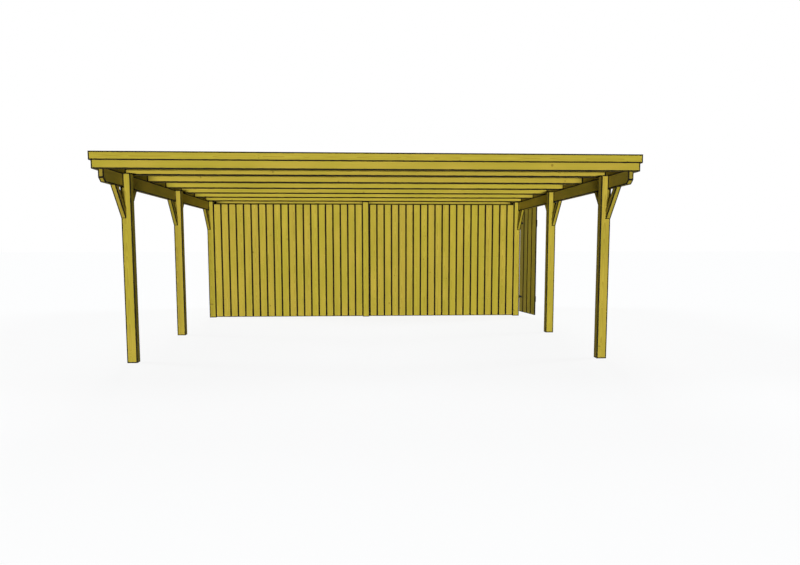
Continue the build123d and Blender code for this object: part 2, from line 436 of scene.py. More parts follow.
parts = figure.nodes.new("ShaderNodeSeparateXYZ")
figure.links.new(wood_in["Grain"], parts.inputs[0])
squares = [reckon(figure, "POWER", parts.outputs[axis], 2.0) for axis in ("Y", "Z")]
pith_square = reckon(figure, "ADD", *squares)
wander_noise = noise(figure, wood_in["Grain"], wander_scale, detail=2.0)
wander = reckon(figure, "MULTIPLY", wander_noise, ring_wander)
pith_distance = reckon(figure, "ADD", reckon(figure, "SQRT", pith_square), wander)
pushed = reckon(figure, "ADD", pith_distance, push)
season = reckon(figure, "FRACT", reckon(figure, "DIVIDE", pushed, wood_in["Ring Width"]))

feed(figure, reckon(figure, "POWER", season, late_sharpness), wood_out["Latewood"])
feed(figure, noise(figure, wood_in["Grain"], streak_scale, detail=3.0), wood_out["Streak"])
feed(figure, noise(figure, wood_in["Grain"], fibre_scale, detail=1.0), wood_out["Fibre"])
print("figure group has", len(figure.nodes), "nodes")

# %% [markdown]
# ## Pressure treatment
#
# Treated softwood is yellow-green: the salts stain the pale earlywood most, and the dense latewood
# and knots stay browner. The colour drifts along a board from greenish to straw, and no two boards
# in a wall match. End grain soaks up more and goes dark. The dark lines between boards and round each
# timber are painted shade: a dark border along every arris and joint, and dark grooves. All that is
# one group with its own colours as inputs, and each finish below places it with other values. The
# painted shade-line mask comes from the mesh, where each timber knows how near a point is to its own
# edges. The door's boards get paler values than the walls', because the open leaf reads paler.

# %% Open the treated colour group
treated, dye_in, dye_out = open_group(
    "treated_softwood",
    [
        ("Grain", "Vector", None),
        ("Arris", "Float", 0.0),
        ("End Grain", "Float", 0.0),
        ("Tint", "Float", 0.5),
        ("Ring Width", "Float", 4 * mm),
        ("Knot Spacing", "Float", 0.5),
        ("Earlywood", "Color", white),
        ("Latewood", "Color", white),
        ("Green", "Color", white),
        ("Knot Colour", "Color", white),
        ("Edge Colour", "Color", white),
        ("Shade Line Strength", "Float", 1.0),
    ],
    [("Color", "Color"), ("Roughness", "Float"), ("Height", "Float")],
)
inner = treated.nodes.new("ShaderNodeGroup")
inner.node_tree = figure
for label in ("Grain", "Ring Width", "Knot Spacing"):
    treated.links.new(dye_in[label], inner.inputs[label])
print("treated wood takes", len(dye_in) - 1, "values")

# %% Lay the stain, ring by ring and knot by knot
drift_scale = (1.6, 4.0, 4.0)
tint_in_drift = 0.35
green_start, green_full = 0.45, 0.9
marks = (("Latewood", 0.75, "Latewood"), ("Knot", 0.6, "Knot Colour"), ("Knot Rim", 0.35, "Edge Colour"))

drift = noise(treated, dye_in["Grain"], drift_scale, detail=2.0)
drifted = reckon(treated, "ADD", drift, reckon(treated, "MULTIPLY", dye_in["Tint"], tint_in_drift))
greenness = step_between(treated, drifted, green_start, green_full)
stained = blend_colour(treated, greenness, dye_in["Earlywood"], dye_in["Green"])
for mark, strength, dye in marks:
    share = reckon(treated, "MULTIPLY", inner.outputs[mark], strength)
    stained = blend_colour(treated, share, stained, dye_in[dye])
print("stain laid in", 1 + len(marks), "coats")

# %% Tone each timber, and paint shade lines along its edges
streak_gain, streak_least = 0.30, 0.85
tint_gain, tint_least = 0.12, 0.94
end_grain_gain = -0.35
ragged_scale = (14.0, 60.0, 60.0)
raggedness = 0.3
edge_start, edge_full = 0.1, 0.45

streak_level = reckon(treated, "MULTIPLY_ADD", inner.outputs["Streak"], streak_gain, streak_least)
tint_level = reckon(treated, "MULTIPLY_ADD", dye_in["Tint"], tint_gain, tint_least)
end_level = reckon(treated, "MULTIPLY_ADD", dye_in["End Grain"], end_grain_gain, 1.0)
level = reckon(treated, "MULTIPLY", reckon(treated, "MULTIPLY", streak_level, tint_level), end_level)
grey_level = treated.nodes.new("ShaderNodeCombineColor")
for channel in range(3):
    feed(treated, level, grey_level.inputs[channel])
shaded = blend_colour(treated, 1.0, stained, grey_level.outputs[0], mode="MULTIPLY")

ragged = noise(treated, dye_in["Grain"], ragged_scale, detail=2.0)
waver = reckon(treated, "MULTIPLY_ADD", ragged, raggedness, -raggedness / 2)
# Painted shade lines: a ragged dark border along every arris, joint and groove.
edge_line = reckon(treated, "ADD", dye_in["Arris"], waver)
edge = step_between(treated, edge_line, edge_start, edge_full)
painted_shade_lines = reckon(treated, "MULTIPLY", edge, dye_in["Shade Line Strength"])
feed(treated, blend_colour(treated, painted_shade_lines, shaded, dye_in["Edge Colour"]), dye_out["Color"])
print("edges fade over", round(edge_full - edge_start, 2), "of their border")

# %% Gloss and relief of the wood
late_gloss, plain_roughness, fibre_roughness = -0.12, 0.72, 0.12
late_height, knot_height = 0.5, 0.8

smooth = reckon(treated, "MULTIPLY_ADD", inner.outputs["Latewood"], late_gloss, plain_roughness)
rough = reckon(treated, "MULTIPLY_ADD", inner.outputs["Fibre"], fibre_roughness, smooth)
feed(treated, rough, dye_out["Roughness"])
proud = reckon(treated, "MULTIPLY_ADD", inner.outputs["Latewood"], late_height, inner.outputs["Fibre"])
feed(treated, reckon(treated, "MULTIPLY_ADD", inner.outputs["Knot"], knot_height, proud), dye_out["Height"])
print("treated group has", len(treated.nodes), "nodes")

# %% One timber finish from the group
wood_specular = 0.12
grain_relief = 0.35
grain_depth = 0.4 * mm
marks_on_mesh = {"Grain": "Vector", "Arris": "Fac", "End Grain": "Fac", "Tint": "Fac"}


def timber_finish(name, **values):
    """A finish for sawn and planed timber, with its own values for the treated colour group."""
    finish, tree, shader = open_finish(name)
    wood = tree.nodes.new("ShaderNodeGroup")
    wood.node_tree = treated
    for label, kind in marks_on_mesh.items():
        carried = tree.nodes.new("ShaderNodeAttribute")
        carried.attribute_name = label.lower().replace(" ", "_")
        tree.links.new(carried.outputs[kind], wood.inputs[label])
    for label, value in values.items():
        wood.inputs[label.replace("_", " ").title()].default_value = value
    shader.inputs["Specular IOR Level"].default_value = wood_specular
    tree.links.new(wood.outputs["Color"], shader.inputs["Base Color"])
    tree.links.new(wood.outputs["Roughness"], shader.inputs["Roughness"])
    add_relief(tree, shader, wood.outputs["Height"], grain_depth, grain_relief)
    return finish


print("timber reads from its mesh:", ", ".join(marks_on_mesh))

# %% Four timber finishes
straw = srgb(199, 177, 66)
olive = srgb(184, 169, 55)
brown_line = srgb(162, 138, 40)
knot_brown = srgb(124, 94, 34)
# Nearly black: the painted shade lines at edges and joints, and the real dark rim round knots.
shade_line_and_rim_brown = srgb(20, 15, 3)
common = {
    "earlywood": straw,
    "green": olive,
    "latewood": brown_line,
    "knot_colour": knot_brown,
    "edge_colour": shade_line_and_rim_brown,
}
# Paler colours for the door's boards than for the walls'.
paler_leaf = common | {
    "earlywood": srgb(222, 203, 100),
    "green": srgb(208, 196, 88),
    "latewood": srgb(188, 166, 62),
}

frame_timber = timber_finish("frame_timber", ring_width=5 * mm, knot_spacing=0.62, **common)
fascia_boards = timber_finish("fascia_boards", ring_width=4.5 * mm, knot_spacing=0.5, **common)
wall_boards = timber_finish("wall_boards", ring_width=3.6 * mm, knot_spacing=0.45, **common)
door_boards = timber_finish("door_boards", ring_width=3.2 * mm, knot_spacing=0.4, **paler_leaf)
print("timber finishes:", [m.name for m in (frame_timber, fascia_boards, wall_boards, door_boards)])

# %% [markdown]
# ## From a solid to a planed timber
#
# A solid comes in as triangles with knife edges. A modifier stack could round them, but the marks
# for grain and dark lines have to be laid on the finished mesh, so the work is done in mesh code.
# Triangles are melted back into whole faces, outer edges are rounded as a planer does, and each
# broad face gets a second outline a few millimetres inside. The outer line of that border is marked
# 1 and the inner one 0, and the shader reads the fade between them as a line of painted shade.
#
# The grain runs along the longest edge of each timber, which is also true of slanting braces, so
# no timber needs to be told its own direction.

# %% Melt, round and border
weld = 0.01 * mm
flat = math.radians(0.5)
sharp = math.radians(25)
line_width = 14 * mm
broad_enough = 1.6


def whole_faces(node):
    """The solid of a node with its triangles melted back into whole faces."""
    shape = bmesh.new()
    shape.from_mesh(nodes[node].data)
    bmesh.ops.remove_doubles(shape, verts=shape.verts, dist=weld)
    bmesh.ops.dissolve_limit(shape, angle_limit=flat, verts=shape.verts, edges=shape.edges)
    return shape


def round_edges(shape, radius):
    """Rounds the edges that stick out and leaves the inner corners of notches sharp."""
    outer = [edge for edge in shape.edges if edge.is_convex and edge.calc_face_angle(0.0) > sharp]
    bmesh.ops.bevel(
        shape, geom=outer, offset=radius, offset_type="OFFSET", segments=2, profile=0.5, affect="EDGES"
    )


def border_faces(shape, width):
    """Marks every point 1 on the arrises, and 0 inside a border round each broad face."""
    arris = shape.verts.layers.float.new("arris")
    for vert in shape.verts:
        vert[arris] = 1.0
    least = broad_enough * width
    broad = [face for face in shape.faces if 2 * face.calc_area() / face.calc_perimeter() > least]
    bmesh.ops.inset_individual(shape, faces=broad, thickness=width, use_even_offset=True)
    for face in broad:
        for vert in face.verts:
            vert[arris] = 0.0


print("dark borders", round(line_width / mm), "mm wide")


# %% Tell timbers apart, and find which way each runs
def first_point(face):
    """The lowest number among the points of a face."""
    return min(vert.index for vert in face.verts)


def single_timbers(shape):
    """The mesh as groups of connected faces, one for each timber, in the order of their points."""
    shape.verts.index_update()
    waiting = set(shape.faces)
    groups = []
    while waiting:
        start = min(waiting, key=first_point)
        waiting.discard(start)
        group = [start]
        for face in group:
            for edge in face.edges:
                for other in edge.link_faces:
                    if other in waiting:
                        waiting.discard(other)
                        group.append(other)
        groups.append(group)
    return groups


def direction(edge):
    """The way an edge runs, always read towards its larger coordinate."""
    way = (edge.verts[1].co - edge.verts[0].co).normalized()
    largest = max(way, key=abs)
    return way if largest > 0 else -way


def reach_along(verts, way):
    """How far a timber extends in one direction."""
    places = [vert.co.dot(way) for vert in verts]
    return max(places) - min(places)


# %% Lay the grain
flat_board = 45 * mm
pith_aside = 0.3
pith_below = 0.2
sawn_outside = (15, 70)
trunk_length = 40
square_on = 0.1
end_on = 0.7


def longest_first(edge):
    """Sorts edges by length, and equal ones by their points, so that each run lays the same grain."""
    return -edge.calc_length(), *sorted(vert.index for vert in edge.verts)


def lay_grain(shape, dice):
    """Gives each timber its own wood: where it lay in the tree, and how dark it took the stain."""
    grain = shape.verts.layers.float_vector.new("grain")
    tint = shape.verts.layers.float.new("tint")
    end_grain = shape.faces.layers.float.new("end_grain")
    for faces in single_timbers(shape):
        verts = sorted({vert for face in faces for vert in face.verts}, key=lambda vert: vert.index)
        edges = sorted({edge for face in faces for edge in face.edges}, key=longest_first)
        along = direction(edges[0])
        across = next(direction(edge) for edge in edges if abs(direction(edge).dot(along)) < square_on)
        through = along.cross(across)
        if reach_along(verts, through) > reach_along(verts, across):
            across, through = through, across
        centre = sum((vert.co for vert in verts), Vector()) / len(verts)
        width = reach_along(verts, across)
        depth = reach_along(verts, through)
        aside = dice.uniform(-pith_aside, pith_aside) * width
        below = dice.uniform(-pith_below, pith_below) * depth
        if depth < flat_board:
            below = dice.choice((-1, 1)) * (depth / 2 + dice.uniform(*sawn_outside) * mm)
        origin = Vector((dice.uniform(0, trunk_length), aside, below))
        shade = dice.random()
        for vert in verts:
            place = vert.co - centre
            vert[grain] = origin + Vector((place.dot(along), place.dot(across), place.dot(through)))
            vert[tint] = shade
        for face in faces:
            face[end_grain] = 1.0 if abs(face.normal.dot(along)) > end_on else 0.0


# %% Turn a mesh into a piece that rides on its body
door_nodes = {name for name, thing in nodes.items() if body_of(thing) == ["door"]}


def make_piece(shape, name, finish, body="frame", stands_for=()):
    """Hands a finished mesh over: it rides on a body, and may take the place of solids."""
    mesh = bpy.data.meshes.new(name)
    shape.to_mesh(mesh)
    shape.free()
    mesh.materials.append(finish)
    piece = bpy.data.objects.new(name, mesh)
    scene.collection.objects.link(piece)
    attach(piece, body)
    if stands_for:
        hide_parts(*stands_for)
    return piece


def planed_timber(node, radius, line=line_width, finish=frame_timber):
    """The timbers of one node, rounded, bordered and with their grain laid."""
    shape = whole_faces(node)
    round_edges(shape, radius)
    border_faces(shape, line)
    lay_grain(shape, random.Random(node))
    body = "door" if node in door_nodes else "frame"
    return make_piece(shape, f"planed_{node}", finish, body, [node])


print("on the door:", sorted(door_nodes))

# %% [markdown]
# ## Posts, beams, braces and rafters
#
# These are planed construction timbers of 120, 60 x 160, 60 x 80 and 60 x 120 mm. The mill eases
# their arrises by about 3 mm, so that they don't splinter and the stain holds on the edge.

# %% Plane the frame timbers
arris_radius = 3 * mm
rafter_line = 20 * mm
frame_nodes = sorted(name for name in nodes if name.startswith(("post_", "beam_", "brace", "rafter_")))
for node in frame_nodes:
    line = rafter_line if node.startswith("rafter_") else line_width
    planed_timber(node, arris_radius, line)
print(len(frame_nodes), "frame timbers planed")

# %% [markdown]
# ## Fascia
#
# The roof's edge is two boards: a thick lower one, and a thinner one that stands out in front and
# hides the ends of the roof sheets. They are planed boards like the rest, with a finer arris.

# %% Plane the fascia
fascia_radius = 2.5 * mm
fascia_line = 16 * mm
fascia_nodes = sorted(name for name in nodes if name.startswith("fascia_"))
for node in fascia_nodes:
    planed_timber(node, fascia_radius, fascia_line, fascia_boards)
print(len(fascia_nodes), "fascia boards planed")

# %% [markdown]
# ## Boarded walls
#
# The walls are upright boards that overlap in a rebate, with a groove left open between their faces.
# The solid is one slab of the full thickness. A texture could draw the lines on it, but a groove
# catches the light and throws a shadow, and shows in the outline of the top, so every board is made.
#
# Each board has a tongue on its right, which forms the bottom of the groove and runs on under the
# lip of the next board, so that no light comes through the wall. Its section is drawn once, as places
# along the wall and depths from the face, and carried up from foot to head. Under a sloping beam each
# board's head follows the slope.

# %% One board from its section
groove_width = 14 * mm
groove_depth = 10 * mm
face_ease = 2.5 * mm
end_ease = 0.8 * mm
board_line = 7 * mm
lap = 8 * mm
play = 0.4 * mm


def split_run(start, end, count, first_step, last_step):
    """Shares a run among boards, each as the two ends of its back and the two ends of its face.

    A step is how far the face stays back from the end of the run.
    """
    lead = max(0.0, first_step - groove_width / 2)
    pitch = (end - start - lead) / count
    for number in range(count):
        near = start + lead + number * pitch + groove_width / 2
        far = near + pitch - groove_width
        left, right = near + lap, far + groove_width + lap - play
        if number == 0:
            left, near = start + play, max(start + first_step, start + play)
        if number == count - 1:
            right, far = end - play, min(end - last_step, end - play)
        yield left, right, near, far


print("grooves", round(groove_width / mm), "mm wide and", round(groove_depth / mm), "mm deep")


# %% Draw a board's section, and raise the board from it
def board_section(left, right, near, far, thickness, line):
    """Points round a board as (place along the wall, depth from the face, arris mark)."""
    section = [(left, thickness, 1.0)]
    near_ease = far_ease = end_ease
    # Every point in the groove is marked 1, so its walls and bottom are painted dark as shade, on top of the
    # shadow the groove casts itself.
    if abs(left - near) > weld:
        near_ease = face_ease
        under = groove_depth - play if left > near else groove_depth
        section += [(left, under, 1.0), (near, under, 1.0)]
    if right > far:
        far_ease = face_ease
    section += [
        (near, near_ease, 1.0),
        (near + near_ease, 0.0, 1.0),
        (near + near_ease + line, 0.0, 0.0),
        (far - far_ease - line, 0.0, 0.0),
        (far - far_ease, 0.0, 1.0),
        (far, far_ease, 1.0),
    ]
    if right > far:
        section += [(far, groove_depth, 1.0), (right, groove_depth, 1.0)]
    section += [(right, thickness, 1.0), (right - line, thickness, 0.0), (left + line, thickness, 0.0)]
    return section


def join_rings(shape, rings, closed=True):
    """Joins each ring of points to the next with faces, and fills the first and last if closed."""
    for lower, upper in zip(rings, rings[1:]):
        for number in range(len(lower)):
            following = (number + 1) % len(lower)
            shape.faces.new((lower[number], lower[following], upper[following], upper[number]))
    if closed:
        shape.faces.new(rings[0][::-1])
        shape.faces.new(rings[-1])


def raise_board(shape, arris, section, foot, head, place):
    """Carries a section up from foot to head, with a border ring near each end."""
    rings = []
    stations = ((0.0, None, 1.0), (line_width, None, 0.0), (None, line_width, 0.0), (None, 0.0, 1.0))
    for from_foot, from_head, at_end in stations:
        ring = []
        for along, depth, mark in section:
            height = foot + from_foot if from_head is None else head(along) - from_head
            vert = shape.verts.new(place(along, depth, height))
            vert[arris] = max(mark, at_end)
            ring.append(vert)
        rings.append(ring)
    join_rings(shape, rings)


def boarded(seed, boards, thickness, foot, head, place, line=board_line):
    """A wall of boards, from the sides and face of each and a function that places their points."""
    shape = bmesh.new()
    arris = shape.verts.layers.float.new("arris")
    for sides in boards:
        raise_board(shape, arris, board_section(*sides, thickness, line), foot, head, place)
    bmesh.ops.recalc_face_normals(shape, faces=shape.faces)
    lay_grain(shape, random.Random(seed))
    return shape


# %% Read a slab's faces and its sloping head
board_pitch = 136 * mm


def boards_in(length):
    """The whole number of boards that comes nearest to the usual pitch."""
    return max(1, round(length / board_pitch))


def level_head(height):
    """A head at the same height all along."""
    return lambda along: height


def head_line(node, axis):
    """The top of a slab as a height for each place along it."""
    points = [vert.co for vert in nodes[node].data.vertices]
    low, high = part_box(node)
    start = max(p.z for p in points if abs(p[axis] - low[axis]) < mm)
    end = max(p.z for p in points if abs(p[axis] - high[axis]) < mm)
    slope = (end - start) / (high[axis] - low[axis])
    return lambda along: start + slope * (along - low[axis])


def across_wall(face_y, inward):
    """Places the points of a wall that runs across, by their depth from its face."""
    return lambda along, depth, height: Vector((along, face_y + inward * depth, height))


def side_wall(face_x, outward):
    """Places the points of a wall that runs from front to back, by their depth from its face."""
    return lambda along, depth, height: Vector((face_x - outward * depth, along, height))


def outer_x(node, outward):
    """Where the outer face of a node stands: the left one for -1, and the right one for 1."""
    low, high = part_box(node)
    return low.x if outward < 0 else high.x


print("boards about", round(board_pitch / mm), "mm apart")

# %% Board a wall in place of its slab
half_groove = groove_width / 2
screw_lines = []


def board_wall(node, name, boards, top, place, rails):
    """Puts boards in place of a slab, and notes where their screws go."""
    low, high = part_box(node)
    thickness = min(high.x - low.x, high.y - low.y)
    shape = boarded(node, boards, thickness, low.z, top, place)
    make_piece(shape, name, wall_boards, "frame", [node])
    screw_lines.append((boards, place, rails, "frame"))
    print(f"{name}: {len(boards)} boards, {thickness / mm:.0f} mm thick")


# %% The wall behind the parking bay, with its recess beside the centre post
def recess_width(node):
    """How far the front face of a slab stays back from its own left side."""
    low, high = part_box(node)
    return min(vert.co.x for vert in nodes[node].data.vertices if vert.co.y - low.y < mm) - low.x


for side in ("left", "right"):
    node = f"bay_wall_{side}"
    low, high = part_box(node)
    first_step = max(half_groove, recess_width(node))
    boards = list(split_run(low.x, high.x, boards_in(high.x - low.x), first_step, half_groove))
    top, place = level_head(high.z), across_wall(low.y, 1)
    board_wall(node, f"boards_bay_{side}", boards, top, place, "bay_wall_rails")

# %% The back wall, either side of its centre post
back_low, back_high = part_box("back_wall")
centre_low, centre_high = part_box("post_back_centre")
back_boards = []
for start, end in ((back_low.x, centre_low.x), (centre_high.x, back_high.x)):
    back_boards += split_run(start, end, boards_in(end - start), half_groove, half_groove)
top, place = level_head(back_high.z), across_wall(back_high.y, -1)
board_wall("back_wall", "boards_back", back_boards, top, place, "back_wall_rails")

# %% The store room's side walls
side_walls = {"side_wall_left": -1, "side_wall_right_front": 1, "side_wall_right_back": 1}
for node, outward in side_walls.items():
    low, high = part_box(node)
    boards = list(split_run(low.y, high.y, boards_in(high.y - low.y), half_groove, half_groove))
    name = node.replace("side_wall", "boards_side")
    top, place = head_line(node, 1), side_wall(outer_x(node, outward), outward)
    board_wall(node, name, boards, top, place, node.replace("wall", "rails"))

# %% Plane the rails and the door studs
rail_radius = 2 * mm
rail_nodes = sorted(name for name in nodes if "rails" in name or name == "door_studs")
for node in rail_nodes:
    planed_timber(node, rail_radius)
print("planed:", ", ".join(rail_nodes))

# %% [markdown]
# ## The door
#
# The leaf is four wide boards on two ledges and a diagonal, and it stands open. Its boards are
# easiest to lay out where the leaf was made, shut against its studs. The hinge's own place and range
# say how far it was swung, so one matrix shuts it and its inverse opens it again.

# %% Shut the door on paper
def extent(points):
    """The lowest and the highest corner of the box round some points."""
    return (
        Vector(min(point[axis] for point in points) for axis in range(3)),
        Vector(max(point[axis] for point in points) for axis in range(3)),
    )


hinge = frame["joints"][0]
hinge_place = Vector(hinge["pos_m"])
shut_angle = math.radians(hinge["range_deg"][1])
to_hinge = Matrix.Translation(hinge_place)
shut = to_hinge @ Matrix.Rotation(shut_angle, 4, Vector(hinge["axis"])) @ to_hinge.inverted()
opened = shut.inverted()
leaf_low, leaf_high = extent([shut @ vert.co for vert in nodes["door_leaf"].data.vertices])
print("shut, the leaf spans", [round(c, 3) for c in leaf_low], "to", [round(c, 3) for c in leaf_high])

# %% Lay out its boards, and open it
leaf_boards = 4
leaf_line = 16 * mm


def leaf_place(along, depth, height):
    """Places a point of the leaf, drawn shut, where it is with the door open."""
    return opened @ Vector((leaf_high.x - depth, along, height))


leaf_sides = list(split_run(leaf_low.y, leaf_high.y, leaf_boards, 0.0, 0.0))
leaf_top = level_head(leaf_high.z)
leaf_thickness = leaf_high.x - leaf_low.x
leaf_shape = boarded("door_leaf", leaf_sides, leaf_thickness, leaf_low.z, leaf_top, leaf_place, leaf_line)
make_piece(leaf_shape, "boards_door", door_boards, "door", ["door_leaf"])
screw_lines.append((leaf_sides, leaf_place, "door_ledges", "door"))
for node in ("door_ledges", "door_diagonal"):
    planed_timber(node, rail_radius)
print(f"leaf {leaf_high.y - leaf_low.y:.3f} m wide in {leaf_boards} boards")

# %% [markdown]
# ## Metal
#
# The roof is coated steel in six sheets, each five ribs wide. The paint is matt grey with a faint
# orange peel, and no two sheets come from the same place in the coil, so each has a tone of its own,
# worked out by counting sheets across the roof. Dust lies in broad patches, and rain has drawn it
# down the fall in streaks.
#
# The hinges and screws are black powder coat: nearly black, with a fine leathery skin that spreads
# the highlight, and worn a little towards grey.

# %% Start a metal, and give it a skin
def metal_start(name):
    """A material with its shader and a point in metres to hang textures on."""
    finish, tree, shader = open_finish(name)
    return finish, tree, shader, tree.nodes.new("ShaderNodeTexCoord").outputs["Object"]


def add_skin(tree, shader, place, grain_size, depth):
    """The fine bumps that sprayed paint dries with."""
    per_metre = 1 / grain_size
    add_relief(tree, shader, noise(tree, place, (per_metre, per_metre, per_metre), detail=1.0), depth)


# %% Coated roof sheet
sheet_cover = 1035 * mm
clean_grey = srgb(158, 161, 163)
dusty_grey = srgb(180, 181, 179)
rain_grey = srgb(150, 150, 145)
batch_grey = srgb(140, 143, 146)
dust_scale = (1.2, 0.5, 1.2)
rain_scale = (22.0, 0.7, 22.0)
rain_strength = 0.45
batch_strength = 0.25
dust_roughness, clean_roughness = 0.25, 0.5

roof_sheet, sheet_tree, sheet_shader, sheet_place = metal_start("roof_sheet")
across = sheet_tree.nodes.new("ShaderNodeSeparateXYZ")
sheet_tree.links.new(sheet_place, across.inputs[0])
sheet_number = reckon(sheet_tree, "FLOOR", reckon(sheet_tree, "DIVIDE", across.outputs["X"], sheet_cover))
batch = sheet_tree.nodes.new("ShaderNodeTexWhiteNoise")
batch.noise_dimensions = "1D"
sheet_tree.links.new(sheet_number, batch.inputs["W"])
dust = noise(sheet_tree, sheet_place, dust_scale, detail=4.0)
rain = noise(sheet_tree, sheet_place, rain_scale, detail=3.0)
dusty = step_between(sheet_tree, dust, start=0.3, end=0.7)
weathered = blend_colour(sheet_tree, dusty, clean_grey, dusty_grey)
rained_on = step_between(sheet_tree, rain, start=0.45, end=0.75)
rain_share = reckon(sheet_tree, "MULTIPLY", rained_on, rain_strength)
streaked = blend_colour(sheet_tree, rain_share, weathered, rain_grey)
batch_share = reckon(sheet_tree, "MULTIPLY", batch.outputs["Value"], batch_strength)
toned = blend_colour(sheet_tree, batch_share, streaked, batch_grey)
sheet_tree.links.new(toned, sheet_shader.inputs["Base Color"])
sheet_roughness = reckon(sheet_tree, "MULTIPLY_ADD", dust, dust_roughness, clean_roughness)
feed(sheet_tree, sheet_roughness, sheet_shader.inputs["Roughness"])
add_skin(sheet_tree, sheet_shader, sheet_place, grain_size=1.1 * mm, depth=0.05 * mm)
print("sheets of", sheet_cover, "m cover width")

# %% Black powder coat
coat_black = (0.022, 0.022, 0.023, 1.0)
coat_worn = (0.06, 0.058, 0.055, 1.0)
worn_scale = (25.0, 25.0, 25.0)
worn_roughness, coat_roughness = 0.15, 0.45

black_coat, coat_tree, coat_shader, coat_place = metal_start("hinge_steel")
handled = noise(coat_tree, coat_place, worn_scale, detail=4.0)
worn = step_between(coat_tree, handled, start=0.5, end=0.8)
coat_tree.links.new(blend_colour(coat_tree, worn, coat_black, coat_worn), coat_shader.inputs["Base Color"])
coat_gloss = reckon(coat_tree, "MULTIPLY_ADD", worn, worn_roughness, coat_roughness)
feed(coat_tree, coat_gloss, coat_shader.inputs["Roughness"])
add_skin(coat_tree, coat_shader, coat_place, grain_size=0.7 * mm, depth=0.08 * mm)
print("metal finishes:", roof_sheet.name, black_coat.name)


# %% Give the sheet and the hinges their finish
def refinish(node, finish):
    """Puts a finish on a solid that keeps its own shape."""
    slots = nodes[node].data.materials
    slots.clear()
    slots.append(finish)


coated = {"roof_sheets": roof_sheet, "door_straps": black_coat, "door_pintles": black_coat}
for node, finish in coated.items():
    refinish(node, finish)
print("coated:", ", ".join(coated))

# %% [markdown]
# ## Screws
#
# Every screw head is a turned shape: a short list of radii and heights, swept round the direction
# that the screw points out. Countersunk heads sit flush in the boards and show a small socket, the
# heads that hold the beams in their notches are wide and domed, and the roof screws are hexagons on
# a washer. Many small heads are one mesh per place, so the scene stays light.
#
# Their places follow the joinery. Each board gets two screws wherever a rail passes behind it, each
# beam two in every post, the lower fascia along the sides one at each rafter's end, and the sheet one
# in every second valley over each rafter.

# %% Turn a head, and find what it goes into
def turn(shape, place, out, profile, segments):
    """Sweeps (radius, height) pairs round a direction, and closes both ends."""
    out = out.normalized()
    aside = out.orthogonal().normalized()
    above = out.cross(aside)
    rings = []
    for radius, height in profile:
        ring = []
        for number in range(segments):
            angle = math.tau * number / segments
            spoke = aside * math.cos(angle) + above * math.sin(angle)
            ring.append(shape.verts.new(place + out * height + spoke * radius))
        rings.append(ring)
    join_rings(shape, rings)


def timbers_in(node):
    """The corners of each separate timber in a node, as (low, high)."""
    shape = whole_faces(node)
    timbers = single_timbers(shape)
    found = [extent([vert.co for face in faces for vert in face.verts]) for faces in timbers]
    shape.free()
    return found


def in_mm(*pairs):
    """A profile given in millimetres."""
    return [(radius * mm, height * mm) for radius, height in pairs]


countersunk = in_mm((3.8, -1), (3.8, 0.1), (3.4, 0.25), (1.7, 0.25), (1.3, -0.8))
plate_head = in_mm((11, -1), (11, 0.6), (9.5, 2.2), (5, 3.2), (2.8, 3.2), (2.4, 1.0))
pan_head = in_mm((4.5, -0.5), (4.5, 0.8), (3.6, 1.9), (1.8, 2.3), (1.4, 1.2))
washer = in_mm((9.5, -0.3), (9.5, 0.9), (8.5, 1.4), (4, 1.6))
hexagon = in_mm((4.6, 1.3), (4.6, 5.6), (3.9, 6.2))
heads = {"board": countersunk, "beam": plate_head, "hinge": pan_head, "roof": washer}
print("head widths in mm:", {use: round(2 * profile[0][0] / mm, 1) for use, profile in heads.items()})

# %% Screw the boards to their rails
screw_inset = 0.24
small_round, large_round = 8, 16
board_screws = {"frame": bmesh.new(), "door": bmesh.new()}
for boards, place, rail_node, body in screw_lines:
    levels = sorted({round((low.z + high.z) / 2, 4) for low, high in timbers_in(rail_node)})
    for left, right, near, far in boards:
        for share in (screw_inset, 1 - screw_inset):
            along = near + share * (far - near)
            for level in levels:
                on_face = place(along, 0.0, level)
                out = on_face - place(along, mm, level)
                turn(board_screws[body], on_face, out, countersunk, small_round)
faces_a_head = small_round * (len(countersunk) - 1) + 2
for body, shape in board_screws.items():
    print(len(shape.faces) // faces_a_head, "board screws on the", body)
    make_piece(shape, f"board_screws_{body}", black_coat, body)

# %% Screw the beams to the posts
def middle_y(node):
    """How far back the middle of a node stands."""
    low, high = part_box(node)
    return (low.y + high.y) / 2


beam_screws = bmesh.new()
screw_spread = 30 * mm
screw_depths = (45 * mm, 115 * mm)
ways_out = {"left": -1, "right": 1}
post_rows = ("front", "middle", "wall", "back")
for side, outward in ways_out.items():
    beam = f"beam_{side}"
    beam_top = head_line(beam, 1)
    for row in post_rows:
        for way, depth in zip((-1, 1), screw_depths):
            y = middle_y(f"post_{row}_{side}") + way * screw_spread
            spot = Vector((outer_x(beam, outward), y, beam_top(y) - depth))
            turn(beam_screws, spot, Vector((outward, 0, 0)), plate_head, large_round)
make_piece(beam_screws, "beam_screws", black_coat)
print("beams held by", len(ways_out) * len(post_rows) * len(screw_depths), "plate heads")

# %% Screw the lower fascia to the rafter ends
fascia_screws = bmesh.new()
above_edge = 55 * mm
rafter_nodes = sorted(name for name in nodes if name.startswith("rafter_"))
for side, outward in ways_out.items():
    board = f"fascia_lower_{side}"
    board_low, board_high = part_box(board)
    board_top = head_line(board, 1)
    board_height = board_top(board_high.y) - board_low.z
    for node in rafter_nodes:
        y = middle_y(node)
        spot = Vector((outer_x(board, outward), y, board_top(y) - board_height + above_edge))
        turn(fascia_screws, spot, Vector((outward, 0, 0)), countersunk, small_round)
make_piece(fascia_screws, "fascia_screws", black_coat)
print("fascia held by", len(ways_out) * len(rafter_nodes), "screws")

